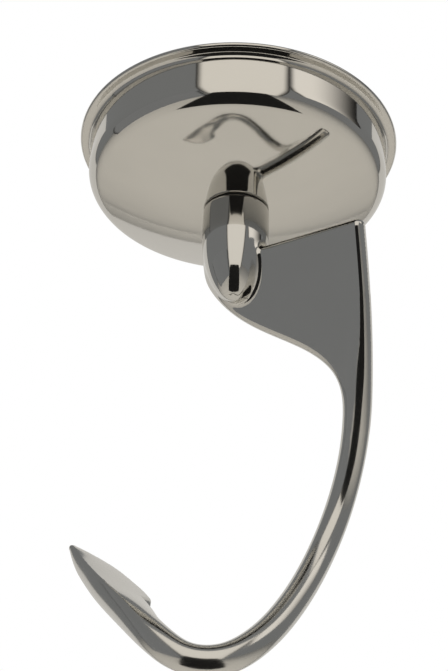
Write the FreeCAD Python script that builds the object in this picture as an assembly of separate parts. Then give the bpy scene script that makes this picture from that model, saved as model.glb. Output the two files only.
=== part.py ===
"""Dough hook of a planetary kitchen mixer: a cast hook under a pressed guard dish, on a turned
drive spindle with a cross pin.  Millimetres, +Z up along the spindle, the hook's blade on the +X
side, leaning towards +Y as it goes down, and the toe on the -X side.  The origin is on the
spindle's axis, in the plain journal at its free end, above the cross pin."""
import FreeCAD, Part
import math
import os
from FreeCAD import Vector

# ---- driving dimensions ---------------------------------------------------------------------
SEAT_Z = -40.0            # underside of the dish where the hook's neck is clamped, below the origin

# drive spindle, turned stainless steel
JOURNAL_R = 6.35          # plain shaft that runs in the mixer's tool socket
SPINDLE_TOP = 47.0        # heights above the seat
THREAD_TOP = 15.5
PIN_HEIGHT = 30.0
RELIEF_R = 5.9            # shaft relieved where the cross pin goes through it
RELIEF_LOW = 25.5
RELIEF_HIGH = 34.5
THREAD_R = 7.0            # M14 thread that the nut clamps on
STUD_R = 5.0              # M10 stud screwed into the hook's neck
STUD_DEPTH = 13.0
STUD_CHAMFER = 0.8
TAP_RUNOUT = 0.5          # hole in the neck deeper than the stud
NOSE_CHAMFER = 1.5

# cross pin that locks in the socket's bayonet slots
PIN_R = 2.5
PIN_LENGTH = 20.0
PIN_CHAMFER = 0.4

# guard dish, pressed from sheet with a rolled rim, hollow side up
SHEET = 1.0
SKIRT_R = 40.0            # outside of the skirt
DOME_R = 110.0            # outside of the shallow dome
CORNER_R = 5.0            # outside corner between dome and skirt
SKIRT_TOP = 20.2          # underside of the rim
RIM_R = 43.0              # outside of the rolled rim
RIM_HEIGHT = 1.4
FLARE_R = 1.4             # skirt flares out into the rim
FLANGE_R = 8.8            # flat clamping seat in the middle
BORE_R = 7.1              # clearance on the thread, in the dish and the washers

# clamping stack, upwards from the seat
SEAL_R = 8.3
SEAL_HEIGHT = 0.3
WASHER_R = 10.5
WASHER_HEIGHT = 1.6
SPRING_R = 10.0
SPRING_HEIGHT = 2.2
SPRING_GAP = 1.6
SPRING_SLANT = 25         # degrees that the split leans
NUT_FLATS = 22.0
NUT_HEIGHT = 7.0
NUT_CHAMFER_SLOPE = 0.5

# hook casting
NECK_R = 8.8
NECK_CHAMFER = 0.6
END_DROP = 8.0            # where the neck's bullet-shaped end starts below the seat
END_LENGTH = 19.5
END_POINTS = 10
BLADE_THICKNESS = 4.8
BLADE_EDGE_R = 1.7
BLADE_HINGE = -14.5       # height about which the blade's plane leans
BLADE_LEAN = 27.9         # degrees from upright
BLADE_WELD_R = 1.75       # rod's first station, inside the blade
ROD_R = 3.5
TOE_R = 3.75              # underside of the leaf-shaped toe

os.makedirs("parts", exist_ok=True)


def above_seat(height):
    """Z of a height measured up from the dish's seat."""
    return SEAT_Z + height


def at(x, y, height):
    return Vector(x, y, above_seat(height))


def profile_point(radius, height):
    """Point of a profile that is turned about the spindle's axis."""
    return at(radius, 0, height)


def turned(profile):
    """Solid of revolution about the spindle's axis from (radius, height above seat) points."""
    points = [profile_point(*place) for place in profile]
    face = Part.Face(Part.makePolygon(points + points[:1]))
    return face.revolve(Vector(0, 0, 0), Vector(0, 0, 1), 360)


def curve_through(points):
    spline = Part.BSplineCurve()
    spline.interpolate(points)
    return spline


# ---- drive spindle and its cross pin --------------------------------------------------------
def make_spindle():
    neck_top = -SEAL_HEIGHT
    body = turned([
        (0.0, neck_top - STUD_DEPTH),
        (STUD_R - STUD_CHAMFER, neck_top - STUD_DEPTH),
        (STUD_R, neck_top - STUD_DEPTH + STUD_CHAMFER),
        (STUD_R, neck_top),
        (THREAD_R, neck_top),
        (THREAD_R, THREAD_TOP - (THREAD_R - JOURNAL_R)),
        (JOURNAL_R, THREAD_TOP),
        (JOURNAL_R, RELIEF_LOW),
        (RELIEF_R, RELIEF_LOW + JOURNAL_R - RELIEF_R),
        (RELIEF_R, RELIEF_HIGH - (JOURNAL_R - RELIEF_R)),
        (JOURNAL_R, RELIEF_HIGH),
        (JOURNAL_R, SPINDLE_TOP - NOSE_CHAMFER),
        (JOURNAL_R - NOSE_CHAMFER, SPINDLE_TOP),
        (0.0, SPINDLE_TOP),
    ])
    return body.cut(cross_cylinder(PIN_R, 4 * JOURNAL_R))


def cross_cylinder(radius, length):
    """Cylinder along Y, centred on the spindle's axis at the cross pin's height."""
    start = at(0, -length / 2, PIN_HEIGHT)
    return Part.makeCylinder(radius, length, start, Vector(0, 1, 0))


def make_drive_pin():
    pin = cross_cylinder(PIN_R, PIN_LENGTH)
    ends = [edge for edge in pin.Edges if isinstance(edge.Curve, Part.Circle)]
    return pin.makeChamfer(PIN_CHAMFER, ends)


# ---- guard dish -----------------------------------------------------------------------------
def dome_height(radius, inset=0.0):
    """Height of the dome at a radius; inset moves it to the inner face of the sheet."""
    r = DOME_R - inset
    flat = r - math.sqrt(r * r - FLANGE_R ** 2)
    return inset + r - math.sqrt(r * r - radius * radius) - flat


def dish_side(inset):
    """One face of the sheet as four pieces: flat seat, dome, corner arc and skirt."""
    dome = DOME_R - inset
    corner = CORNER_R - inset
    skirt = SKIRT_R - inset
    dome_centre = dome_height(0, inset) + dome
    corner_x = SKIRT_R - CORNER_R
    corner_z = dome_centre - math.sqrt((DOME_R - CORNER_R) ** 2 - corner_x ** 2)
    lean = math.atan2(corner_x, dome_centre - corner_z)
    touch = profile_point(dome * math.sin(lean), dome_centre - dome * math.cos(lean))
    half = (math.pi / 2 - lean) / 2
    middle = profile_point(corner_x + corner * math.sin(lean + half),
                           corner_z - corner * math.cos(lean + half))
    side = profile_point(skirt, corner_z)
    seat_edge = profile_point(FLANGE_R, inset)
    dome_mid = profile_point(SKIRT_R / 2, dome_height(SKIRT_R / 2, inset))
    return [
        Part.makeLine(profile_point(BORE_R, inset), seat_edge),
        Part.Arc(seat_edge, dome_mid, touch).toShape(),
        Part.Arc(touch, middle, side).toShape(),
        Part.makeLine(side, profile_point(skirt, SKIRT_TOP - FLARE_R)),
    ]


def make_guard_dish():
    outer = dish_side(0.0)
    inner = dish_side(SHEET)
    top = SKIRT_TOP + RIM_HEIGHT
    roll = RIM_HEIGHT / 2
    bend = FLARE_R * (1 - math.sqrt(0.5))
    rim = [
        Part.Arc(profile_point(SKIRT_R, SKIRT_TOP - FLARE_R),
                 profile_point(SKIRT_R + bend, SKIRT_TOP - bend),
                 profile_point(SKIRT_R + FLARE_R, SKIRT_TOP)).toShape(),
        Part.makeLine(profile_point(SKIRT_R + FLARE_R, SKIRT_TOP),
                      profile_point(RIM_R - roll, SKIRT_TOP)),
        Part.Arc(profile_point(RIM_R - roll, SKIRT_TOP), profile_point(RIM_R, SKIRT_TOP + roll),
                 profile_point(RIM_R - roll, top)).toShape(),
        Part.makeLine(profile_point(RIM_R - roll, top), profile_point(SKIRT_R, top)),
        Part.Arc(profile_point(SKIRT_R, top),
                 profile_point(SKIRT_R - 0.7 * SHEET, top - 0.3 * SHEET),
                 profile_point(SKIRT_R - SHEET, top - SHEET)).toShape(),
        Part.makeLine(profile_point(SKIRT_R - SHEET, top - SHEET),
                      profile_point(SKIRT_R - SHEET, SKIRT_TOP - FLARE_R)),
    ]
    bore = Part.makeLine(profile_point(BORE_R, 0), profile_point(BORE_R, SHEET))
    wire = Part.Wire(Part.__sortEdges__(outer + rim + inner + [bore]))
    return Part.Face(wire).revolve(Vector(0, 0, 0), Vector(0, 0, 1), 360)


# ---- clamping stack -------------------------------------------------------------------------
def ring(inner, outer, low, high):
    return turned([(inner, low), (outer, low), (outer, high), (inner, high)])


def make_spring_washer(low):
    """Flat ring with the slanting split of a spring washer."""
    washer = ring(BORE_R, SPRING_R, low, low + SPRING_HEIGHT)
    slot = Part.makeBox(SPRING_R, SPRING_GAP, 3 * SPRING_HEIGHT)
    slot.translate(Vector(0, -SPRING_GAP / 2, above_seat(low) - SPRING_HEIGHT))
    slot.rotate(at(0, 0, low + SPRING_HEIGHT / 2), Vector(1, 0, 0), SPRING_SLANT)
    return washer.cut(slot)


def make_lock_nut(low):
    corner_r = NUT_FLATS / math.sqrt(3)
    turns = [math.radians(60 * k) for k in range(7)]
    corners = [at(corner_r * math.cos(turn), corner_r * math.sin(turn), low) for turn in turns]
    prism = Part.Face(Part.makePolygon(corners)).extrude(Vector(0, 0, NUT_HEIGHT))
    flat_r = NUT_FLATS / 2
    drop = (corner_r - flat_r) * NUT_CHAMFER_SLOPE
    turned_limits = turned([
        (THREAD_R, low),
        (flat_r, low),
        (corner_r, low + drop),
        (corner_r, low + NUT_HEIGHT - drop),
        (flat_r, low + NUT_HEIGHT),
        (THREAD_R, low + NUT_HEIGHT),
    ])
    return prism.common(turned_limits)


# ---- hook casting ---------------------------------------------------------------------------
def make_neck():
    """Round neck with a bullet-shaped end, half of a long ellipse turned about the axis."""
    top = -SEAL_HEIGHT
    turns = [math.pi / 2 * k / END_POINTS for k in range(END_POINTS + 1)]
    end = [profile_point(NECK_R * math.sin(turn), -END_DROP - END_LENGTH * math.cos(turn))
           for turn in turns]
    side = [end[-1], profile_point(NECK_R, top - NECK_CHAMFER),
            profile_point(NECK_R - NECK_CHAMFER, top), profile_point(0, top), end[0]]
    straight = [Part.makeLine(side[k], side[k + 1]) for k in range(len(side) - 1)]
    wire = Part.Wire([curve_through(end).toShape()] + straight)
    return Part.Face(wire).revolve(Vector(0, 0, 0), Vector(0, 0, 1), 360)


def make_blade():
    """Flat web from the neck out to the rod, with rounded edges.  It is drawn upright, then leaned
    over about its top edge, to end inside the rod."""
    lower = [(-8.4, -13.3), (-9.3, -18.0), (-7.3, -24.0), (-3.5, -29.2), (2.5, -34.6),
             (11.4, -40.9), (17.6, -46.3), (20.5, -50.9), (21.3, -55.6), (21.0, -61.1),
             (19.8, -68.3)]
    outer = [(23.8, -68.3), (27.7, -59.8), (31.0, -48.8), (34.6, -32.3), (37.2, -15.4)]
    half = BLADE_THICKNESS / 2

    def points(outline):
        return [at(x, -half, height) for x, height in outline]

    lower_edge = curve_through(points(lower)).toShape()
    outer_edge = curve_through(points(outer)).toShape()
    top = points([outer[-1], (34.0, -14.3), (0.0, -14.0), lower[0]])
    rod_end = Part.makeLine(points(lower)[-1], points(outer)[0])
    straight = [Part.makeLine(top[k], top[k + 1]) for k in range(len(top) - 1)]
    wire = Part.Wire([lower_edge, rod_end, outer_edge] + straight)
    slab = Part.Face(wire).extrude(Vector(0, BLADE_THICKNESS, 0))
    curved = [edge for edge in slab.Edges if isinstance(edge.Curve, Part.BSplineCurve)]
    blade = slab.makeFillet(BLADE_EDGE_R, curved)
    return blade.rotated(at(0, 0, BLADE_HINGE), Vector(1, 0, 0), BLADE_LEAN)


def hook_section(centre, tangent, near, far, top, keel):
    """Closed section of two arcs.  near and far are (side, rise) corners towards -Y and +Y, and
    top and keel are the rises of the inner face and of the underside midway between them."""
    across = (Vector(0, 1, 0) - tangent * tangent.y).normalize()
    inward = across.cross(tangent)

    def place(side, rise):
        return centre + across * side + inward * rise

    middle = (near[0] + far[0]) / 2
    near_point, far_point = place(*near), place(*far)
    face = Part.Arc(near_point, place(middle, top), far_point)
    underside = Part.Arc(far_point, place(middle, keel), near_point)
    return Part.Wire([face.toShape(), underside.toShape()])


def round_section(radius):
    return (-radius, 0.0), (radius, 0.0), radius, -radius


def make_rod_and_toe():
    """Round rod that leaves the blade, swings round behind the axis, sweeps under it and ends in a
    flat-faced, leaf-shaped toe."""
    stations = [
        ((31.7, 9.1, -31.7), round_section(BLADE_WELD_R)),
        ((28.8, 14.0, -40.9), round_section(ROD_R - 0.9)),
        ((26.4, 17.8, -48.0), round_section(ROD_R - 0.4)),
        ((24.4, 21.2, -54.5), round_section(ROD_R)),
        ((20.1, 26.4, -65.1), round_section(ROD_R)),
        ((14.1, 29.3, -78.8), round_section(ROD_R)),
        ((10.4, 25.9, -91.8), round_section(ROD_R)),
        ((7.4, 16.7, -106.8), round_section(ROD_R)),
        ((3.7, 7.6, -117.4), round_section(ROD_R)),
        ((-1.6, 1.0, -122.4), round_section(ROD_R)),
        ((-7.9, -3.2, -122.1), round_section(ROD_R)),
        ((-14.6, -4.6, -117.5), ((-3.9, 0.5), (3.7, 0.8), 3.9, -TOE_R)),
        ((-19.6, -4.0, -113.2), ((-4.4, 1.1), (4.0, 2.4), 4.1, -TOE_R)),
        ((-23.7, -3.25, -109.6), ((-4.9, 1.7), (5.6, 3.8), 4.2, -TOE_R)),
        ((-28.2, -2.7, -105.7), ((-5.3, 2.3), (8.5, 5.1), 4.3, -3.6)),
        ((-33.0, -2.7, -101.5), ((-5.1, 2.6), (8.6, 5.3), 4.3, -3.1)),
        ((-37.2, -3.1, -97.5), ((-3.9, 2.6), (7.6, 5.0), 4.1, -2.3)),
        ((-40.3, -3.7, -94.6), ((-2.2, 2.7), (5.6, 4.4), 3.8, -1.2)),
        ((-43.2, -4.2, -91.9), ((-0.6, 2.9), (2.9, 3.7), 3.4, 0.6)),
    ]
    spine = curve_through([at(*place) for place, section in stations])
    wires = []
    for place, section in stations:
        centre = at(*place)
        tangent = spine.tangent(spine.parameter(centre))[0]
        wires.append(hook_section(centre, tangent, *section))
    return Part.makeLoft(wires, True, False)


def make_hook_casting():
    body = make_neck().fuse([make_blade(), make_rod_and_toe()])
    depth = STUD_DEPTH + TAP_RUNOUT
    bore = Part.makeCylinder(STUD_R, depth, at(0, 0, -SEAL_HEIGHT - depth), Vector(0, 0, 1))
    return body.cut(bore).removeSplitter()


# ---- build and write ------------------------------------------------------------------------
washer_low = SHEET
spring_low = washer_low + WASHER_HEIGHT
nut_low = spring_low + SPRING_HEIGHT
parts = {
    "drive_spindle": make_spindle(),
    "drive_pin": make_drive_pin(),
    "guard_dish": make_guard_dish(),
    "seal_washer": ring(BORE_R, SEAL_R, -SEAL_HEIGHT, 0.0),
    "plain_washer": ring(BORE_R, WASHER_R, washer_low, spring_low),
    "spring_washer": make_spring_washer(spring_low),
    "lock_nut": make_lock_nut(nut_low),
    "hook_casting": make_hook_casting(),
}
for name, shape in parts.items():
    solid = shape.Solids[0]
    print(name, len(shape.Solids), solid.isValid(), round(solid.Volume, 1),
          [round(v, 1) for v in (solid.BoundBox.XMin, solid.BoundBox.XMax, solid.BoundBox.YMin,
                                 solid.BoundBox.YMax, solid.BoundBox.ZMin, solid.BoundBox.ZMax)])
    solid.exportStep(f"parts/{name}.step")
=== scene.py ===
import math

import bmesh
import bpy
import numpy as np
from mathutils import Matrix, Vector


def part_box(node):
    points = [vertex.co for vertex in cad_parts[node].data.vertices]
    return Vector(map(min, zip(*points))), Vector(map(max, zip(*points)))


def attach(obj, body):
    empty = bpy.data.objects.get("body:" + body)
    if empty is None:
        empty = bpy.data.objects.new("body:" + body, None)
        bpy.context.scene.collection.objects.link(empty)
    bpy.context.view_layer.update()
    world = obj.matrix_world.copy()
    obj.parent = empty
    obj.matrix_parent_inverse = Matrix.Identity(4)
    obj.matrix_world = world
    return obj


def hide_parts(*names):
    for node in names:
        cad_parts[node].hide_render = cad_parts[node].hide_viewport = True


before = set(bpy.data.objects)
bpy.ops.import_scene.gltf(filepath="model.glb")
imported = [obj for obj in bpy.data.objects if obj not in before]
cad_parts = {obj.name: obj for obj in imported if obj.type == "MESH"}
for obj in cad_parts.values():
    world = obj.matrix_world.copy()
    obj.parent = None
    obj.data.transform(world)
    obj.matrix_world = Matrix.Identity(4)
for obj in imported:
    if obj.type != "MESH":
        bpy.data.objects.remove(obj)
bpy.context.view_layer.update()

# ---- hook casting -----------------------------------------------------------------------------
# A mirror-polished stainless casting: a neck with a bullet-shaped end, a leaning blade, a round rod
# that swings round behind the axis and under it, and a leaf-shaped toe.  The spindle's stud is
# screwed into the neck.  Sizes are millimetres, and heights are from the dish's seat.
MM = 0.001
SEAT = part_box("guard_dish")[0].z

NECK_R = 8.8
NECK_TOP = (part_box("hook_casting")[1].z - SEAT) / MM
NECK_EDGE = 0.5
END_HEIGHT = -8.0
END_LENGTH = 19.5
END_FILLET = 3.0

# the blade is drawn upright, as (x, height), then leaned over about its top edge
BLADE_HALF = 2.4
BLADE_EDGE = 2.0
BLADE_HINGE = -14.5
BLADE_LEAN = math.radians(27.9)
BLADE_LOWER = [(-8.4, -13.3), (-9.3, -18.0), (-7.3, -24.0), (-3.5, -29.2), (2.5, -34.6),
               (11.4, -40.9), (17.6, -46.3), (20.5, -50.9), (21.3, -55.6), (21.0, -61.1),
               (19.8, -68.3)]
BLADE_OUTER = [(23.8, -68.3), (27.7, -59.8), (31.0, -48.8), (34.6, -32.3), (37.4, -15.4)]
BLADE_TOP = [(38.0, -14.4), (12.0, -14.1), (-9.0, -14.0)]
BLADE_END = -68.0
ROD_BLEND = 2.0
RIDGE = 0.5
TIP_ROUND = 0.8


def round_rod(x, y, height, radius):
    return x, y, height, -radius, 0.0, radius, 0.0, radius, -radius


# x, y, height, then the section's near corner (side, rise), far corner (side, rise), face and keel
ROD_AND_TOE = [
    round_rod(31.7, 9.1, -31.7, 1.75), round_rod(28.8, 14.0, -40.9, 2.6),
    round_rod(26.4, 17.8, -48.0, 3.1), round_rod(24.4, 21.2, -54.5, 3.5),
    round_rod(20.1, 26.4, -65.1, 3.5), round_rod(14.1, 29.3, -78.8, 3.5),
    round_rod(10.4, 25.9, -91.8, 3.5), round_rod(7.4, 16.7, -106.8, 3.5),
    round_rod(3.7, 7.6, -117.4, 3.6), round_rod(-1.6, 1.0, -122.4, 3.7),
    round_rod(-7.9, -3.2, -122.1, 3.7),
    (-14.6, -4.6, -117.5, -4.3, 1.1, 4.1, 0.7, 3.8, -3.8),
    (-19.6, -4.0, -113.2, -5.0, 1.9, 5.4, 2.0, 3.9, -3.8),
    (-24.0, -3.2, -109.35, -5.6, 2.5, 7.1, 3.6, 4.1, -3.75),
    (-28.2, -2.7, -105.7, -5.9, 2.7, 8.4, 5.0, 4.2, -3.6),
    (-33.0, -2.7, -101.5, -5.3, 2.7, 8.6, 5.3, 4.3, -3.1),
    (-37.2, -3.1, -97.5, -3.9, 2.6, 7.6, 5.0, 4.1, -2.3),
    (-40.3, -3.7, -94.6, -2.2, 2.7, 5.6, 4.4, 3.8, -1.2),
    (-42.8, -4.2, -92.2, -0.7, 2.9, 3.1, 3.7, 3.5, 0.4),
    (-44.1, -4.4, -90.9, 0.0, 2.8, 1.8, 3.2, 3.1, 1.4),
]

# the toe's far lobe ends in a short step, where the rod begins
LOBE_X = -24.0
LOBE_SIDE = 4.2
LOBE_EDGE = 0.4


def spline_through(rows, dims):
    """Smooth curve through rows whose first numbers are a place of two or three coordinates.  It
    gives all of the rows' numbers, or their first or second rates of change, at u from 0 to 1."""
    rows = np.array(rows, float)
    knots = np.r_[0, np.cumsum(np.linalg.norm(np.diff(rows[:, :dims], axis=0), axis=1))]
    knots /= knots[-1]
    gap = np.diff(knots)
    count = len(rows)
    system = np.eye(count)
    rates = np.zeros_like(rows)
    for i in range(1, count - 1):
        system[i, i - 1:i + 2] = gap[i - 1], 2 * (gap[i - 1] + gap[i]), gap[i]
        rates[i] = 6 * ((rows[i + 1] - rows[i]) / gap[i] - (rows[i] - rows[i - 1]) / gap[i - 1])
    bend = np.linalg.solve(system, rates)

    def curve(u, order=0):
        i = np.clip(np.searchsorted(knots, u, side="right") - 1, 0, count - 2)
        h = gap[i][..., None]
        a = (knots[i + 1] - u)[..., None] / h
        b = 1 - a
        low, high, bend_low, bend_high = rows[i], rows[i + 1], bend[i], bend[i + 1]
        if order == 0:
            cubic = (a ** 3 - a) * bend_low + (b ** 3 - b) * bend_high
            value = a * low + b * high + cubic * h * h / 6
        elif order == 1:
            cubic = (3 * b * b - 1) * bend_high - (3 * a * a - 1) * bend_low
            value = (high - low) / h + cubic * h / 6
        else:
            value = a * bend_low + b * bend_high
        return value.T

    return curve


def foot_on(curve, place):
    """Each point's nearest u on the curve, its offset from there and the curve's direction."""
    dims = len(place)
    trial = np.linspace(0, 1, 70)
    spots = curve(trial)[:dims]
    u = trial[sum((p[:, None] - spot) ** 2 for p, spot in zip(place, spots)).argmin(1)]
    for turn in range(4):
        offset, rate = place - curve(u)[:dims], curve(u, 1)[:dims]
        if turn < 3:
            speed = (rate * rate).sum(0)
            slope = speed - (offset * curve(u, 2)[:dims]).sum(0)
            slope = np.where(slope > 0.2 * speed, slope, speed)
            u = np.clip(u + (offset * rate).sum(0) / slope, 0, 1)
    return u, offset, rate / np.linalg.norm(rate, axis=0)


def right_of(curve, place):
    """How far each point of a plane is to the right of a curve in it."""
    offset, ahead = foot_on(curve, place)[1:]
    return offset[0] * ahead[1] - offset[1] * ahead[0]


def meet(a, b, radius):
    """Inside both shapes, with their shared edge rounded."""
    corner = np.hypot(np.maximum(a + radius, 0), np.maximum(b + radius, 0)) - radius
    return corner + np.minimum(np.maximum(a, b) + radius, 0)


def join(a, b, width):
    """Inside either shape, with the inner corner between them filled."""
    near = np.maximum(width - np.abs(a - b), 0) / width
    return np.minimum(a, b) - near ** 3 * width / 6


def arc_disc(y, rise, ay, ar, by, br, cy, cr):
    """Distance of (y, rise) outside the circle through three points."""
    d = 2 * (ay * (br - cr) + by * (cr - ar) + cy * (ar - br))
    a2, b2, c2 = ay * ay + ar * ar, by * by + br * br, cy * cy + cr * cr
    oy = (a2 * (br - cr) + b2 * (cr - ar) + c2 * (ar - br)) / d
    orise = (a2 * (cy - by) + b2 * (ay - cy) + c2 * (by - ay)) / d
    return np.hypot(y - oy, rise - orise) - np.hypot(ay - oy, ar - orise)


blade_lower, blade_outer, blade_top = (spline_through(outline, 2) for outline in
                                       (BLADE_LOWER, BLADE_OUTER, BLADE_TOP))
rod_and_toe = spline_through(ROD_AND_TOE, 3)


def hook_field(x, y, z):
    """Signed distance from the casting's surface, negative inside the metal."""
    lean_sin, lean_cos = math.sin(BLADE_LEAN), math.cos(BLADE_LEAN)
    down = z - BLADE_HINGE
    flat = np.array([x, BLADE_HINGE + down * lean_cos - y * lean_sin])
    plan = meet(right_of(blade_outer, flat), right_of(blade_top, flat), BLADE_EDGE)
    plan = np.maximum(plan, right_of(blade_lower, flat))
    plan = meet(plan, BLADE_END - flat[1], BLADE_EDGE)
    blade = meet(plan, np.abs(y * lean_cos + down * lean_sin) - BLADE_HALF, BLADE_EDGE)

    u, offset, ahead = foot_on(rod_and_toe, np.array([x, y, z]))
    near_side, near_rise, far_side, far_rise, top, keel = rod_and_toe(u)[3:]
    across = -ahead * ahead[1]
    across[1] += 1
    across /= np.linalg.norm(across, axis=0)
    inward = np.cross(across, ahead, axis=0)
    side, rise = (offset * across).sum(0), (offset * inward).sum(0)
    middle = (near_side + far_side) / 2
    face = arc_disc(side, rise, near_side, near_rise, middle, top, far_side, far_rise)
    underside = arc_disc(side, rise, near_side, near_rise, middle, keel, far_side, far_rise)
    rod = -join(-face, -underside, RIDGE)
    rod = meet(rod, np.minimum(side - LOBE_SIDE, x - LOBE_X), LOBE_EDGE)
    rod = meet(rod, np.abs((offset * ahead).sum(0)) - TIP_ROUND, TIP_ROUND)

    radius = np.hypot(x, y)
    below = np.minimum(z - END_HEIGHT, 0)
    reach = np.hypot(radius / NECK_R, below / END_LENGTH)
    steepness = np.hypot(radius / NECK_R ** 2, below / END_LENGTH ** 2) + 1e-9
    stem = reach * (reach - 1) / steepness
    neck = meet(stem, z - NECK_TOP, NECK_EDGE)
    return join(join(blade, rod, ROD_BLEND), neck, END_FILLET)


def sample(field, places):
    """The field at many places, worked out a part at a time."""
    parts = np.array_split(places, len(places) // 50000 + 1)
    return np.concatenate([field(*part.T) for part in parts])


def surface_net(field, low, high, step):
    """Quads over the field's zero surface, one corner in each grid cell that the surface crosses.
    Only the blocks of cells that the surface may cross are looked at closely."""
    block = 4
    blocks = np.ceil((high - low) / step / block).astype(int)
    middles = low + (np.indices(blocks).reshape(3, -1).T * block + (block - 1) / 2) * step
    value = sample(field, middles).reshape(blocks)
    for axis in range(3):
        value = np.repeat(value, block, axis)
    near = np.abs(value) < 1.4 * block * step
    value[near] = sample(field, low + np.argwhere(near) * step)
    inside = value < 0
    shape = np.array(inside.shape)
    points, cells, quads = [], [], []
    for axis in range(3):
        first = tuple(slice(0, -1) if k == axis else slice(1, -1) for k in range(3))
        second = tuple(slice(1, None) if k == axis else slice(1, -1) for k in range(3))
        corner = np.argwhere(inside[first] != inside[second])
        corner += [0 if k == axis else 1 for k in range(3)]
        ahead = corner.copy()
        ahead[:, axis] += 1
        here, there = value[tuple(corner.T)], value[tuple(ahead.T)]
        point = corner.astype(float)
        point[:, axis] += here / (here - there)
        p, q = (axis + 1) % 3, (axis + 2) % 3
        around = []
        for back_p, back_q in ((1, 1), (0, 1), (0, 0), (1, 0)):
            cell = corner.copy()
            cell[:, p] -= back_p
            cell[:, q] -= back_q
            around.append(np.ravel_multi_index(tuple(cell.T), shape))
            points.append(point)
        around = np.stack(around, 1)
        flip = there < 0
        around[flip] = around[flip, ::-1]
        cells.append(around.T.ravel())
        quads.append(around)
    names, index = np.unique(np.concatenate(cells), return_inverse=True)
    total = np.zeros((len(names), 3))
    np.add.at(total, index, np.concatenate(points))
    total /= np.bincount(index)[:, None]
    quads = np.searchsorted(names, np.concatenate(quads))
    return low + total * step, quads


def settle(points, quads, field, step, rounds):
    """Evens out the quads and pulls every corner exactly onto the surface.  Gives the corners and
    the surface's normals there."""
    sides = np.concatenate([quads[:, [k, (k + 1) % 4]] for k in range(4)])
    sides = np.unique(np.sort(sides, 1), axis=0)
    ends = np.concatenate([sides, sides[:, ::-1]])
    count = np.bincount(ends[:, 0])[:, None]
    nudge = 0.01
    for turn in range(rounds + 2):
        if turn < rounds:
            mean = np.zeros_like(points)
            np.add.at(mean, ends[:, 0], points[ends[:, 1]])
            points = 0.5 * points + 0.5 * mean / count
        value = sample(field, points)
        slope = np.stack([sample(field, points + way) - value for way in np.eye(3) * nudge], 1)
        slope /= nudge
        reach = np.clip(value / np.maximum((slope ** 2).sum(1), 0.2), -step / 2, step / 2)
        points = points - slope * reach[:, None]
    return points, slope / np.linalg.norm(slope, axis=1)[:, None]


hook_step = 0.5
hook_low, hook_high = (np.array(corner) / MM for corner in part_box("hook_casting"))
shift = np.array([0, 0, SEAT / MM])
points, quads = surface_net(hook_field, hook_low - shift - 3, hook_high - shift + 3, hook_step)
points, normals = settle(points, quads, hook_field, hook_step, 5)


def mesh_piece(name, points, faces):
    mesh = bpy.data.meshes.new(name)
    mesh.from_pydata(points.tolist(), [], faces.tolist())
    mesh.shade_smooth()
    piece = bpy.data.objects.new(name, mesh)
    bpy.context.collection.objects.link(piece)
    return piece


def polished_steel(name, tint, roughness, grain):
    """Polished stainless steel with faint smears and the fine ripple that polishing leaves."""
    material = bpy.data.materials.new(name)
    material.use_nodes = True
    nodes, links = material.node_tree.nodes, material.node_tree.links
    shader = nodes["Principled BSDF"]
    shader.inputs["Metallic"].default_value = 1.0
    place = nodes.new("ShaderNodeTexCoord")
    smear = nodes.new("ShaderNodeTexNoise")
    smear.inputs["Scale"].default_value = 55.0
    smear.inputs["Detail"].default_value = 5.0
    links.new(place.outputs["Object"], smear.inputs["Vector"])
    rough = nodes.new("ShaderNodeMapRange")
    rough.inputs["To Min"].default_value = roughness * 0.6
    rough.inputs["To Max"].default_value = roughness * 1.5
    links.new(smear.outputs["Fac"], rough.inputs["Value"])
    links.new(rough.outputs["Result"], shader.inputs["Roughness"])
    shade = nodes.new("ShaderNodeMix")
    shade.data_type = "RGBA"
    shade.inputs["A"].default_value = (*[c * 0.95 for c in tint], 1)
    shade.inputs["B"].default_value = (*tint, 1)
    links.new(smear.outputs["Fac"], shade.inputs["Factor"])
    links.new(shade.outputs["Result"], shader.inputs["Base Color"])
    ripple = nodes.new("ShaderNodeTexNoise")
    ripple.inputs["Scale"].default_value = 260.0
    links.new(place.outputs["Object"], ripple.inputs["Vector"])
    bump = nodes.new("ShaderNodeBump")
    bump.inputs["Strength"].default_value = grain
    bump.inputs["Distance"].default_value = 0.00002
    links.new(ripple.outputs["Fac"], bump.inputs["Height"])
    links.new(bump.outputs["Normal"], shader.inputs["Normal"])
    return material


def belt_polished_below(material, top, bottom, extra):
    """Makes a polished material rougher from one height down to another."""
    nodes, links = material.node_tree.nodes, material.node_tree.links
    shader = nodes["Principled BSDF"]
    place = next(n for n in nodes if n.type == "TEX_COORD")
    parts = nodes.new("ShaderNodeSeparateXYZ")
    links.new(place.outputs["Object"], parts.inputs["Vector"])
    added = nodes.new("ShaderNodeMapRange")
    added.inputs["From Min"].default_value = bottom
    added.inputs["From Max"].default_value = top
    added.inputs["To Min"].default_value = extra
    added.inputs["To Max"].default_value = 0.0
    links.new(parts.outputs["Z"], added.inputs["Value"])
    total = nodes.new("ShaderNodeMath")
    links.new(shader.inputs["Roughness"].links[0].from_socket, total.inputs[0])
    links.new(added.outputs["Result"], total.inputs[1])
    links.new(total.outputs["Value"], shader.inputs["Roughness"])
    return material


hook = mesh_piece("polished_hook", (points + shift) * MM, quads)
hook.data.normals_split_custom_set_from_vertices(normals.tolist())
casting = polished_steel("polished casting", (0.66, 0.65, 0.62), 0.06, 0.2)
BELT_FROM = -30.0
BELT_FULL = -60.0
hook.data.materials.append(belt_polished_below(casting, SEAT + BELT_FROM * MM,
                                               SEAT + BELT_FULL * MM, 0.09))
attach(hook, "root")
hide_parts("hook_casting")

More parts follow.
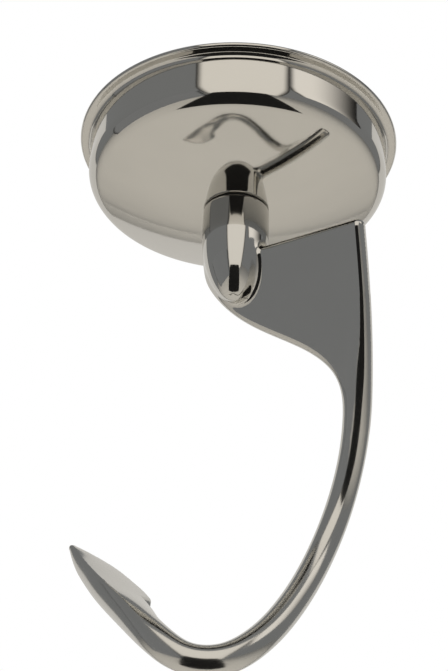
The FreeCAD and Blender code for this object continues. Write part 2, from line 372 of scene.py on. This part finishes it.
# ---- guard dish -------------------------------------------------------------------------------
# Pressed from one stainless sheet: a shallow dome, a straight skirt and a rim rolled outwards, with
# its hollow side up.  It keeps dough from climbing to the hub, and is clamped on the neck.
SHEET = 1.0
SKIRT_R = 40.0
SKIRT_TOP = 20.2
FLARE_R = 1.4
RIM_R = 43.0
RIM_TOP = 21.6
LIP_R = 1.2
DOME_R = 110.0
CORNER_R = 5.0
DISH_BORE_R = 7.1
SPIN_SEGMENTS = 192


def node(tree, kind, **values):
    made = tree.nodes.new(kind)
    for name, value in values.items():
        made.inputs[name.replace("_", " ")].default_value = value
    return made


def new_tree(name, sockets):
    """Geometry node tree with a geometry input and output and the named inputs."""
    tree = bpy.data.node_groups.new(name, "GeometryNodeTree")
    tree.interface.new_socket("Geometry", in_out="INPUT", socket_type="NodeSocketGeometry")
    tree.interface.new_socket("Geometry", in_out="OUTPUT", socket_type="NodeSocketGeometry")
    for label, kind in sockets.items():
        tree.interface.new_socket(label, in_out="INPUT", socket_type=kind)
    return tree, tree.nodes.new("NodeGroupInput"), tree.nodes.new("NodeGroupOutput")


def finish_tree(tree, geometry, start, end):
    """Realize Instances and Set Material, which close every tree."""
    real = node(tree, "GeometryNodeRealizeInstances")
    paint = node(tree, "GeometryNodeSetMaterial")
    tree.links.new(geometry, real.inputs["Geometry"])
    tree.links.new(real.outputs["Geometry"], paint.inputs["Geometry"])
    tree.links.new(start.outputs["Material"], paint.inputs["Material"])
    tree.links.new(paint.outputs["Geometry"], end.inputs["Geometry"])


def run_tree(source, tree, values):
    """Runs a tree on an object, with its inputs set, and puts a plain mesh in its place."""
    modifier = source.modifiers.new("shape", "NODES")
    modifier.node_group = tree
    for item in tree.interface.items_tree:
        if item.in_out == "INPUT" and item.name in values:
            modifier[item.identifier] = values[item.name]
    depsgraph = bpy.context.evaluated_depsgraph_get()
    mesh = bpy.data.meshes.new_from_object(source.evaluated_get(depsgraph))
    name = source.name
    bpy.data.objects.remove(source)
    mesh.name = name
    piece = bpy.data.objects.new(name, mesh)
    bpy.context.collection.objects.link(piece)
    return face_outwards(piece)


def face_outwards(piece):
    shell = bmesh.new()
    shell.from_mesh(piece.data)
    bmesh.ops.remove_doubles(shell, verts=shell.verts, dist=0.002 * MM)
    bmesh.ops.recalc_face_normals(shell, faces=shell.faces)
    shell.to_mesh(piece.data)
    shell.free()
    piece.data.shade_smooth()
    return piece


def spinning_tree():
    """Spins a profile curve about the Z axis.  The profile's X is the radius beyond the path's."""
    tree, start, end = new_tree("spin a profile", {
        "Segments": "NodeSocketInt", "Path radius": "NodeSocketFloat",
        "Material": "NodeSocketMaterial"})
    path = node(tree, "GeometryNodeCurvePrimitiveCircle")
    tree.links.new(start.outputs["Segments"], path.inputs["Resolution"])
    tree.links.new(start.outputs["Path radius"], path.inputs["Radius"])
    skin = node(tree, "GeometryNodeCurveToMesh")
    tree.links.new(path.outputs["Curve"], skin.inputs["Curve"])
    tree.links.new(start.outputs["Geometry"], skin.inputs["Profile Curve"])
    merge = node(tree, "GeometryNodeMergeByDistance", Distance=0.002 * MM)
    tree.links.new(skin.outputs["Mesh"], merge.inputs["Geometry"])
    finish_tree(tree, merge.outputs["Geometry"], start, end)
    return tree


spin_profile = spinning_tree()
PATH_R = 5.0


def spun_piece(name, profile, closed, material):
    """Piece of revolution from (radius, height above the seat) points."""
    curve = bpy.data.curves.new(name, "CURVE")
    curve.dimensions = "3D"
    line = curve.splines.new("POLY")
    line.points.add(len(profile) - 1)
    line.use_cyclic_u = closed
    for point, (radius, height) in zip(line.points, profile):
        point.co = ((radius - PATH_R) * MM, -(SEAT + height * MM), 0, 1)
    source = bpy.data.objects.new(name, curve)
    bpy.context.collection.objects.link(source)
    return run_tree(source, spin_profile, {
        "Segments": SPIN_SEGMENTS, "Path radius": PATH_R * MM, "Material": material})


def arc(centre, radius, start, stop, steps):
    """Points on an arc, from and to angles in degrees."""
    turns = np.radians(np.linspace(start, stop, steps))
    return [(centre[0] + radius * math.cos(t), centre[1] + radius * math.sin(t)) for t in turns]


def softened(corners, closed, radius):
    """Outline through the corners, each rounded and with a support point on either side."""
    corners = [np.array(c, float) for c in corners]
    outline = []
    for k, here in enumerate(corners):
        if not closed and k in (0, len(corners) - 1):
            outline.append(tuple(here))
            continue
        back = corners[k - 1] - here
        ahead = corners[(k + 1) % len(corners)] - here
        room = 0.45 * min(np.hypot(*back), np.hypot(*ahead))
        back, ahead = back / np.hypot(*back), ahead / np.hypot(*ahead)
        half = math.acos(np.clip(back @ ahead, -1, 1)) / 2
        cut = min(radius / math.tan(half), room)
        support = min(cut + 0.25, room * 1.1)
        outline.append(tuple(here + back * support))
        for t in np.linspace(0, 1, 6):
            first, last = here + back * cut, here + ahead * cut
            outline.append(tuple((1 - t) ** 2 * first + 2 * t * (1 - t) * here + t * t * last))
        outline.append(tuple(here + ahead * support))
    return outline


def dish_face(inset):
    """One face of the sheet, from the edge of its flat seat to the top of the skirt."""
    centre_z = DOME_R - NECK_R ** 2 / (2 * DOME_R)
    corner_x = SKIRT_R - CORNER_R
    corner_z = centre_z - math.sqrt((DOME_R - CORNER_R) ** 2 - corner_x ** 2)
    lean = math.degrees(math.atan2(corner_x, centre_z - corner_z))
    seat = math.degrees(math.asin(NECK_R / DOME_R))
    dome = arc((0, centre_z), DOME_R - inset, -90 + seat, -90 + lean, 40)
    corner = arc((corner_x, corner_z), CORNER_R - inset, -90 + lean, 0, 12)
    rise = [(SKIRT_R - inset, z) for z in np.linspace(corner_z, SKIRT_TOP - FLARE_R, 8)[1:]]
    return dome + corner[1:] + rise


def dish_profile():
    roll = (RIM_TOP - SKIRT_TOP) / 2
    underside = dish_face(0.0)
    hollow = dish_face(SHEET)[:-1]
    flare = arc((SKIRT_R + FLARE_R, SKIRT_TOP - FLARE_R), FLARE_R, 180, 90, 14)
    bead = arc((RIM_R - roll, SKIRT_TOP + roll), roll, -90, 90, 14)
    lip = arc((SKIRT_R - SHEET + LIP_R, RIM_TOP - LIP_R), LIP_R, 90, 180, 8)
    bore = [(DISH_BORE_R, SHEET), (DISH_BORE_R, 0.0)]
    return underside[:-1] + flare + bead + lip + hollow[::-1] + bore


dish_steel = polished_steel("polished sheet", (0.66, 0.645, 0.61), 0.06, 0.1)
dish = spun_piece("pressed_dish", dish_profile(), True, dish_steel)
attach(dish, "root")
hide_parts("guard_dish")

# ---- seal washer ------------------------------------------------------------------------------
# A ring between the neck and the dish, which keeps flour out of the joint.  It is made black as
# painted
# shade: its black stands in for the dark line of shade in the crease where the neck meets the dish.
seal_low, seal_high = (corner.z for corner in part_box("seal_washer"))
SEAL_R = 8.3
THREAD_R = 7.0
BORE_GAP = 0.1


def speckled(name, colour, roughness, scale):
    """Matt material whose colour and roughness vary a little from place to place."""
    material = bpy.data.materials.new(name)
    material.use_nodes = True
    nodes, links = material.node_tree.nodes, material.node_tree.links
    shader = nodes["Principled BSDF"]
    place = nodes.new("ShaderNodeTexCoord")
    speck = nodes.new("ShaderNodeTexNoise")
    speck.inputs["Scale"].default_value = scale
    speck.inputs["Detail"].default_value = 4.0
    links.new(place.outputs["Object"], speck.inputs["Vector"])
    shade = nodes.new("ShaderNodeMix")
    shade.data_type = "RGBA"
    shade.inputs["A"].default_value = (*[c * 0.9 for c in colour], 1)
    shade.inputs["B"].default_value = (*colour, 1)
    links.new(speck.outputs["Fac"], shade.inputs["Factor"])
    links.new(shade.outputs["Result"], shader.inputs["Base Color"])
    rough = nodes.new("ShaderNodeMapRange")
    rough.inputs["To Min"].default_value = roughness - 0.1
    rough.inputs["To Max"].default_value = roughness + 0.1
    links.new(speck.outputs["Fac"], rough.inputs["Value"])
    links.new(rough.outputs["Result"], shader.inputs["Roughness"])
    return material


def ring_profile(inner, outer, low, high, radius):
    return softened([(inner, low), (outer, low), (outer, high), (inner, high)], True, radius)


def above_seat(metres):
    return (metres - SEAT) / MM


# the ring's black is painted shade, the dark crease line where the neck meets the dish
seal = spun_piece("seal_ring", ring_profile(THREAD_R + BORE_GAP, SEAL_R,
                                            above_seat(seal_low), above_seat(seal_high), 0.1), True,
                  speckled("black ring painted as joint shade", (0.02, 0.02, 0.02), 0.5, 2500.0))
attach(seal, "root")
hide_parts("seal_washer")

# ---- clamping washers and nut -----------------------------------------------------------------
# Stainless hardware in the dish's hollow: a tumbled flat washer, a split spring washer and a
# hexagon nut on the spindle's thread, which pull the dish down on the seal and the neck.
WASHER_R = 10.5
SPRING_R = 10.0
SPRING_RISE = 0.4
NUT_FLATS = 22.0
NUT_CHAMFER = 1.0
NUT_FACE_INSET = 0.9
NUT_EDGE_INSET = 0.35
NUT_SLOPE = 0.55
NUT_BEVEL = 0.15


def turned_steel(name, tint, roughness, ridges, scratch):
    """Machined stainless steel, with the fine rings that a lathe tool leaves."""
    material = polished_steel(name, tint, roughness, scratch)
    nodes, links = material.node_tree.nodes, material.node_tree.links
    rings = nodes.new("ShaderNodeTexWave")
    rings.wave_type = "BANDS"
    rings.bands_direction = "Z"
    rings.inputs["Scale"].default_value = ridges
    rings.inputs["Distortion"].default_value = 0.4
    place = next(n for n in nodes if n.type == "TEX_COORD")
    links.new(place.outputs["Object"], rings.inputs["Vector"])
    first = next(n for n in nodes if n.type == "BUMP")
    second = nodes.new("ShaderNodeBump")
    second.inputs["Strength"].default_value = 0.35
    second.inputs["Distance"].default_value = 0.00003
    links.new(rings.outputs["Fac"], second.inputs["Height"])
    links.new(first.outputs["Normal"], second.inputs["Normal"])
    links.new(second.outputs["Normal"], nodes["Principled BSDF"].inputs["Normal"])
    return material


washer_steel = polished_steel("tumbled steel", (0.60, 0.59, 0.57), 0.28, 1.0)
low, high = (above_seat(corner.z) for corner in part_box("plain_washer"))
washer = spun_piece("flat_washer", ring_profile(THREAD_R + BORE_GAP, WASHER_R, low, high, 0.25),
                    True, washer_steel)
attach(washer, "root")
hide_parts("plain_washer")


def split_ring_tree():
    """Sweeps a rounded square along an open turn, whose ends stand apart like a spring washer's."""
    tree, start, end = new_tree("split ring", {
        "Radius": "NodeSocketFloat", "Width": "NodeSocketFloat", "Height": "NodeSocketFloat",
        "Rounding": "NodeSocketFloat", "Rise": "NodeSocketFloat", "Sweep": "NodeSocketFloat",
        "Material": "NodeSocketMaterial"})
    turn = node(tree, "GeometryNodeCurveArc", Resolution=120, Start_Angle=math.radians(4))
    tree.links.new(start.outputs["Radius"], turn.inputs["Radius"])
    tree.links.new(start.outputs["Sweep"], turn.inputs["Sweep Angle"])
    share = node(tree, "GeometryNodeSplineParameter")
    lift = tree.nodes.new("ShaderNodeMapRange")
    tree.links.new(share.outputs["Factor"], lift.inputs["Value"])
    tree.links.new(start.outputs["Rise"], lift.inputs["To Max"])
    offset = tree.nodes.new("ShaderNodeCombineXYZ")
    tree.links.new(lift.outputs["Result"], offset.inputs["Z"])
    raised = node(tree, "GeometryNodeSetPosition")
    tree.links.new(turn.outputs["Curve"], raised.inputs["Geometry"])
    tree.links.new(offset.outputs["Vector"], raised.inputs["Offset"])
    square = tree.nodes.new("GeometryNodeCurvePrimitiveQuadrilateral")
    tree.links.new(start.outputs["Width"], square.inputs["Width"])
    tree.links.new(start.outputs["Height"], square.inputs["Height"])
    soft = tree.nodes.new("GeometryNodeFilletCurve")
    soft.mode = "POLY"
    soft.inputs["Count"].default_value = 4
    tree.links.new(square.outputs["Curve"], soft.inputs["Curve"])
    tree.links.new(start.outputs["Rounding"], soft.inputs["Radius"])
    skin = node(tree, "GeometryNodeCurveToMesh", Fill_Caps=True)
    tree.links.new(raised.outputs["Geometry"], skin.inputs["Curve"])
    tree.links.new(soft.outputs["Curve"], skin.inputs["Profile Curve"])
    finish_tree(tree, skin.outputs["Mesh"], start, end)
    return tree


def empty_piece(name):
    source = bpy.data.objects.new(name, bpy.data.meshes.new(name))
    bpy.context.collection.objects.link(source)
    return source


low, high = (corner.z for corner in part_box("spring_washer"))
spring = run_tree(empty_piece("spring_ring"), split_ring_tree(), {
    "Radius": (SPRING_R + THREAD_R) / 2 * MM, "Width": (SPRING_R - THREAD_R - BORE_GAP) * MM,
    "Height": (high - low) - SPRING_RISE * MM, "Rounding": 0.25 * MM, "Rise": SPRING_RISE * MM,
    "Sweep": math.radians(352), "Material": washer_steel})
spring.data.transform(Matrix.Translation((0, 0, (low + high - SPRING_RISE * MM) / 2)))
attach(spring, "root")
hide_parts("spring_washer")


def hex_nut(name, low, high):
    """Hexagon nut: rings of points from the bore out over the chamfered corners and back, with a
    support ring beside each rounded edge."""
    turns = np.radians(np.arange(0, 360, 3.75))
    flat = NUT_FLATS / 2
    hexagon = flat / np.cos((turns + math.pi / 6) % (math.pi / 3) - math.pi / 6)
    circle = np.ones_like(turns)
    drop = (hexagon - flat + NUT_EDGE_INSET) * NUT_SLOPE
    tall = high - low
    support = 0.4
    bore_edge = THREAD_R + NUT_FACE_INSET
    face_ring = flat - NUT_FACE_INSET
    face_edge = flat - NUT_EDGE_INSET
    rings = [
        (THREAD_R * circle, NUT_CHAMFER * circle), (bore_edge * circle, 0 * circle),
        (face_ring * circle, 0 * circle), (face_edge * circle, 0 * circle), (hexagon, drop),
        (hexagon, drop + support), (hexagon, tall - drop - support), (hexagon, tall - drop),
        (face_edge * circle, tall * circle), (face_ring * circle, tall * circle),
        (bore_edge * circle, tall * circle), (THREAD_R * circle, (tall - NUT_CHAMFER) * circle),
    ]
    points = np.concatenate([np.stack([r * np.cos(turns), r * np.sin(turns), low + z], 1)
                             for r, z in rings])
    n = len(turns)
    step = np.arange(n)
    faces = []
    for k in range(len(rings)):
        here, there = k * n, (k + 1) % len(rings) * n
        ahead = (step + 1) % n
        faces.append(np.stack([here + step, here + ahead, there + ahead, there + step], 1))
    nut = mesh_piece(name, (points + shift) * MM, np.concatenate(faces))
    face_outwards(nut)
    edge = nut.modifiers.new("edges", "BEVEL")
    edge.width = NUT_BEVEL * MM
    edge.segments = 2
    edge.limit_method = "ANGLE"
    edge.angle_limit = math.radians(25)
    edge.harden_normals = True
    return nut


low, high = (above_seat(corner.z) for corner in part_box("lock_nut"))
nut = hex_nut("hexagon_nut", low, high)
nut.data.materials.append(turned_steel("machined nut", (0.57, 0.56, 0.55), 0.22, 900.0, 0.6))
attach(nut, "root")
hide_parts("lock_nut")

# ---- drive spindle ----------------------------------------------------------------------------
# Turned from 14 mm stainless bar: a thread for the nut, a ground 12.7 mm journal, a relief where
# the cross pin goes through, and a chamfered nose that finds the hub's socket.
JOURNAL_R = 6.35
RELIEF_R = 5.9
THREAD_TOP = 15.5
THREAD_PITCH = 1.5
THREAD_DEPTH = 0.8
STUD_CHAMFER = 0.3
NOSE_CHAMFER = 1.5
PIN_R = 2.5
pin_low, pin_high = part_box("drive_pin")
PIN_HEIGHT = above_seat((pin_low.z + pin_high.z) / 2)
SPINDLE_TOP = above_seat(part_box("drive_spindle")[1].z)
RELIEF_HALF = 4.5


def thread_cutting_tree():
    """Sinks a vee thread into the part of a spun piece between two heights."""
    tree, start, end = new_tree("cut a thread", {
        "Pitch": "NodeSocketFloat", "Depth": "NodeSocketFloat", "Low": "NodeSocketFloat",
        "High": "NodeSocketFloat", "Inner radius": "NodeSocketFloat",
        "Material": "NodeSocketMaterial"})

    def maths(operation, *values):
        made = tree.nodes.new("ShaderNodeMath")
        made.operation = operation
        for socket, value in zip(made.inputs, values):
            if isinstance(value, (int, float)):
                socket.default_value = value
            else:
                tree.links.new(value, socket)
        return made.outputs["Value"]

    place = tree.nodes.new("GeometryNodeInputPosition")
    parts = tree.nodes.new("ShaderNodeSeparateXYZ")
    tree.links.new(place.outputs["Position"], parts.inputs["Vector"])
    x, y, z = (parts.outputs[axis] for axis in "XYZ")
    turn = maths("DIVIDE", maths("ARCTAN2", y, x), 2 * math.pi)
    phase = maths("FRACT", maths("SUBTRACT", maths("DIVIDE", z, start.outputs["Pitch"]), turn))
    valley = maths("MULTIPLY", maths("ABSOLUTE", maths("SUBTRACT", phase, 0.5)), 2)
    valley = maths("SMOOTH_MAX", maths("SUBTRACT", maths("MULTIPLY", valley, 1.3), 0.15), 0.0, 0.2)
    fade_in = maths("DIVIDE", maths("SUBTRACT", z, start.outputs["Low"]), THREAD_PITCH * MM)
    fade_out = maths("DIVIDE", maths("SUBTRACT", start.outputs["High"], z), THREAD_PITCH * MM)
    fade = maths("MINIMUM", maths("MAXIMUM", maths("MINIMUM", fade_in, fade_out), 0.0), 1.0)
    radius = maths("SQRT", maths("ADD", maths("MULTIPLY", x, x), maths("MULTIPLY", y, y)))
    outer = maths("GREATER_THAN", radius, start.outputs["Inner radius"])
    sink = maths("MULTIPLY", maths("MULTIPLY", valley, fade), outer)
    sink = maths("MULTIPLY", sink, start.outputs["Depth"])
    flat = tree.nodes.new("ShaderNodeCombineXYZ")
    tree.links.new(maths("DIVIDE", x, radius), flat.inputs["X"])
    tree.links.new(maths("DIVIDE", y, radius), flat.inputs["Y"])
    inward = tree.nodes.new("ShaderNodeVectorMath")
    inward.operation = "SCALE"
    tree.links.new(flat.outputs["Vector"], inward.inputs["Vector"])
    tree.links.new(maths("MULTIPLY", sink, -1.0), inward.inputs["Scale"])
    cut = tree.nodes.new("GeometryNodeSetPosition")
    tree.links.new(start.outputs["Geometry"], cut.inputs["Geometry"])
    tree.links.new(inward.outputs["Vector"], cut.inputs["Offset"])
    finish_tree(tree, cut.outputs["Geometry"], start, end)
    return tree


def spindle_profile():
    shoulder = THREAD_R - JOURNAL_R
    relief = JOURNAL_R - RELIEF_R
    low, high = PIN_HEIGHT - RELIEF_HALF, PIN_HEIGHT + RELIEF_HALF
    threaded = [(THREAD_R, z) for z in np.arange(NECK_TOP + STUD_CHAMFER, THREAD_TOP - 1.0, 0.15)]
    return ([(0, NECK_TOP), (THREAD_R - STUD_CHAMFER, NECK_TOP)] + threaded
            + softened([threaded[-1], (THREAD_R, THREAD_TOP - shoulder), (JOURNAL_R, THREAD_TOP),
                        (JOURNAL_R, low), (RELIEF_R, low + relief), (RELIEF_R, high - relief),
                        (JOURNAL_R, high), (JOURNAL_R, SPINDLE_TOP - NOSE_CHAMFER),
                        (JOURNAL_R - NOSE_CHAMFER, SPINDLE_TOP), (0, SPINDLE_TOP)],
                       False, 0.25)[1:])


spindle_steel = turned_steel("turned spindle", (0.61, 0.60, 0.58), 0.16, 1400.0, 0.3)
blank = spun_piece("turned_spindle", spindle_profile(), False, spindle_steel)
spindle = run_tree(blank, thread_cutting_tree(), {
    "Pitch": THREAD_PITCH * MM, "Depth": THREAD_DEPTH * MM, "Low": SEAT + NECK_TOP * MM,
    "High": SEAT + (THREAD_TOP - 0.6) * MM, "Inner radius": (THREAD_R - 0.2) * MM,
    "Material": spindle_steel})
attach(spindle, "root")
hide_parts("drive_spindle")

# ---- drive pin --------------------------------------------------------------------------------
# A ground, hardened steel pin pressed through the spindle.  Its ends lock in the bayonet slots of
# the hub's socket, so it has small chamfers.
PIN_CHAMFER = 0.4
half = (pin_high.y - pin_low.y) / MM / 2
pin_steel = turned_steel("ground pin", (0.55, 0.55, 0.55), 0.14, 2200.0, 0.4)
pin_profile = softened([(0, -half), (PIN_R - PIN_CHAMFER, -half), (PIN_R, -half + PIN_CHAMFER),
                        (PIN_R, half - PIN_CHAMFER), (PIN_R - PIN_CHAMFER, half), (0, half)],
                       False, 0.15)
pin = spun_piece("cross_pin", pin_profile, False, pin_steel)
pin.data.transform(Matrix.Translation((0, 0, -SEAT)))
pin.data.transform(Matrix.Rotation(math.radians(90), 4, "X"))
pin.data.transform(Matrix.Translation((0, 0, SEAT + PIN_HEIGHT * MM)))
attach(pin, "root")
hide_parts("drive_pin")

# ---- floor and studio -------------------------------------------------------------------------
# The tool hangs over a pale floor in a white room.  Out of the camera's sight it is surrounded by
# two softboxes, a backdrop, a grey wall and a dark stand, which the polished steel reflects.
FLOOR_Z = -0.75
FLOOR_SIZE = 8.0


def sheet_of(name, width, depth):
    points = np.array([(-width, -depth, 0), (width, -depth, 0), (width, depth, 0),
                       (-width, depth, 0)]) / 2
    return mesh_piece(name, points, np.array([[0, 1, 2, 3]]))


floor = sheet_of("floor", FLOOR_SIZE, FLOOR_SIZE)
floor.data.materials.append(speckled("pale floor", (0.8, 0.78, 0.74), 0.7, 3.0))
floor.location.z = FLOOR_Z

world = bpy.data.worlds.new("studio")
bpy.context.scene.world = world
world.use_nodes = True
wn, wl = world.node_tree.nodes, world.node_tree.links
background = wn["Background"]
seen = wn.new("ShaderNodeLightPath")
mix = wn.new("ShaderNodeMix")
mix.data_type = "RGBA"
wl.new(seen.outputs["Is Camera Ray"], mix.inputs["Factor"])
mix.inputs["A"].default_value = (0.22, 0.225, 0.228, 1)
mix.inputs["B"].default_value = (1, 1, 1, 1)
wl.new(mix.outputs["Result"], background.inputs["Color"])


def around(azimuth, elevation, distance):
    """A place round the dish's seat.  Azimuth 0 is towards -Y and 90 towards +X."""
    a, e = math.radians(azimuth), math.radians(elevation)
    return Vector((math.sin(a) * math.cos(e) * distance, -math.cos(a) * math.cos(e) * distance,
                   SEAT + math.sin(e) * distance))


def facing(obj, azimuth, elevation, distance):
    """Puts an object in a direction from the dish, turned towards it."""
    place = around(azimuth, elevation, distance)
    obj.location = place
    obj.rotation_euler = (Vector((0, 0, SEAT)) - place).to_track_quat("-Z", "Y").to_euler()


def glowing(name, colour, strength, width, fades):
    """Cloth lit from behind, that dims towards its sides over the two given shares of its width."""
    material = bpy.data.materials.new(name)
    material.use_nodes = True
    nodes, links = material.node_tree.nodes, material.node_tree.links
    place = nodes.new("ShaderNodeTexCoord")
    parts = nodes.new("ShaderNodeSeparateXYZ")
    links.new(place.outputs["Object"], parts.inputs["Vector"])
    sides = []
    for edge, fade in zip((-width / 2, width / 2), fades):
        side = nodes.new("ShaderNodeMapRange")
        side.interpolation_type = "SMOOTHSTEP"
        side.inputs["From Min"].default_value = edge
        side.inputs["From Max"].default_value = edge * (1 - 2 * fade)
        links.new(parts.outputs["X"], side.inputs["Value"])
        sides.append(side)
    both = nodes.new("ShaderNodeMath")
    both.operation = "MULTIPLY"
    for socket, side in zip(both.inputs, sides):
        links.new(side.outputs["Result"], socket)
    power = nodes.new("ShaderNodeMath")
    power.operation = "MULTIPLY"
    power.inputs[1].default_value = strength
    links.new(both.outputs["Value"], power.inputs[0])
    shader = nodes["Principled BSDF"]
    shader.inputs["Base Color"].default_value = (0, 0, 0, 1)
    shader.inputs["Emission Color"].default_value = (*colour, 1)
    links.new(power.outputs["Value"], shader.inputs["Emission Strength"])
    return material


def lit_sheet(name, azimuth, elevation, distance, width, height, colour, strength, fades):
    sheet = sheet_of(name, width, height)
    sheet.data.materials.append(glowing(name, colour, strength, width, fades))
    facing(sheet, azimuth, elevation, distance)
    sheet.visible_camera = False


lit_sheet("left softbox", azimuth=34, elevation=20, distance=1.2, width=1.35, height=1.7,
          colour=(1, 0.95, 0.87), strength=0.9, fades=(0.1, 0.1))
lit_sheet("right softbox", azimuth=101, elevation=36, distance=1.2, width=1.1, height=0.6,
          colour=(1, 0.95, 0.88), strength=1.0, fades=(0.1, 0.75))
lit_sheet("backdrop", azimuth=212, elevation=20, distance=1.6, width=5.0, height=2.2,
          colour=(1, 0.975, 0.93), strength=0.68, fades=(0.05, 0.05))
lit_sheet("left wall", azimuth=-30, elevation=-14, distance=1.3, width=1.9, height=1.1,
          colour=(0.208, 0.213, 0.218), strength=1.0, fades=(0.05, 0.05))

overhead = bpy.data.lights.new("overhead light", "AREA")
overhead.size = 2.0
overhead.energy = 72
overhead.color = (1, 0.97, 0.92)
lamp = bpy.data.objects.new("overhead light", overhead)
bpy.context.collection.objects.link(lamp)
facing(lamp, 212, 55, 1.9)
lamp.visible_camera = False
lamp.visible_glossy = False


def card(name, corners, distance, material):
    """Flat card with its corners in the given directions, seen only in the polished steel."""
    points = np.array([around(azimuth, elevation, distance) for azimuth, elevation in corners])
    made = mesh_piece(name, points, np.array([range(len(corners))]))
    made.data.materials.append(material)
    made.visible_camera = False


STAND_AZIMUTH = 32
STAND_TOP = -12
STAND_FOOT = -62
card("dark stand", [(STAND_AZIMUTH - 18, STAND_TOP), (STAND_AZIMUTH + 18, STAND_TOP),
                    (STAND_AZIMUTH + 75, STAND_FOOT), (STAND_AZIMUTH - 75, STAND_FOOT)], 0.62,
     speckled("dark stand", (0.004, 0.004, 0.004), 0.8, 30.0))

# ---- camera -----------------------------------------------------------------------------------
# A long lens below the dish, looking up into it from the right.  Angles are degrees and the
# distance is metres from the dish's seat.
CAMERA_AZIMUTH = 32.0
CAMERA_ELEVATION = -35.2
CAMERA_DISTANCE = 0.400
CAMERA_PITCH = 30.47
CAMERA_YAW = -0.37
CAMERA_ROLL = 2.0
camera = bpy.data.objects.new("camera", bpy.data.cameras.new("camera"))
bpy.context.collection.objects.link(camera)
camera.data.lens = 80.26
camera.data.sensor_width = 36.0
camera.location = around(CAMERA_AZIMUTH, CAMERA_ELEVATION, CAMERA_DISTANCE)
look = (Matrix.Rotation(math.radians(CAMERA_AZIMUTH - CAMERA_YAW), 4, "Z")
        @ Matrix.Rotation(math.radians(90 + CAMERA_PITCH), 4, "X")
        @ Matrix.Rotation(math.radians(CAMERA_ROLL), 4, "Z"))
camera.rotation_euler = look.to_euler()
bpy.context.scene.camera = camera
bpy.context.scene.view_settings.view_transform = "Standard"
